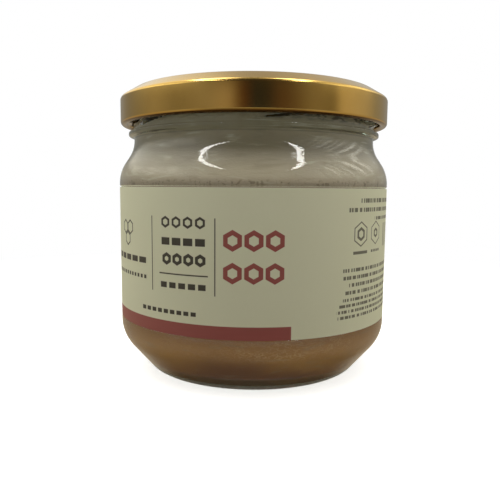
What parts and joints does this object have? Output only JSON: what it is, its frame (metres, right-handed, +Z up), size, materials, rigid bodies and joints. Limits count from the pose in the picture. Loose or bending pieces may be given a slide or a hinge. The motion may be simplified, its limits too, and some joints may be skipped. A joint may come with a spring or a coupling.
{
  "type": "honey jar",
  "caption": "Squat clear glass jar of creamed honey with a gold twist-off metal lid and a wide wrap-round paper label.",
  "frame": {"origin": "centre of the bottom of the jar, on the surface that it stands on", "axes": "+Z up along the jar's axis, and the front of the label faces -Y"},
  "size_m": [0.0818, 0.0817, 0.0826],
  "materials": {
    "glass": "clear flint glass, faintly green, moulded",
    "gold_lid": "gold lacquered tinplate, satin gloss",
    "creamed_honey": "creamed honey, finely crystallised, pale at the top and caramel brown below",
    "label_paper": "matt cream paper with a maroon strip and plain dark marks"
  },
  "bodies": {
    "root": {"jar_glass": "glass", "lid": "gold_lid", "honey": "creamed_honey", "label": "label_paper"}
  },
  "joints": []
}
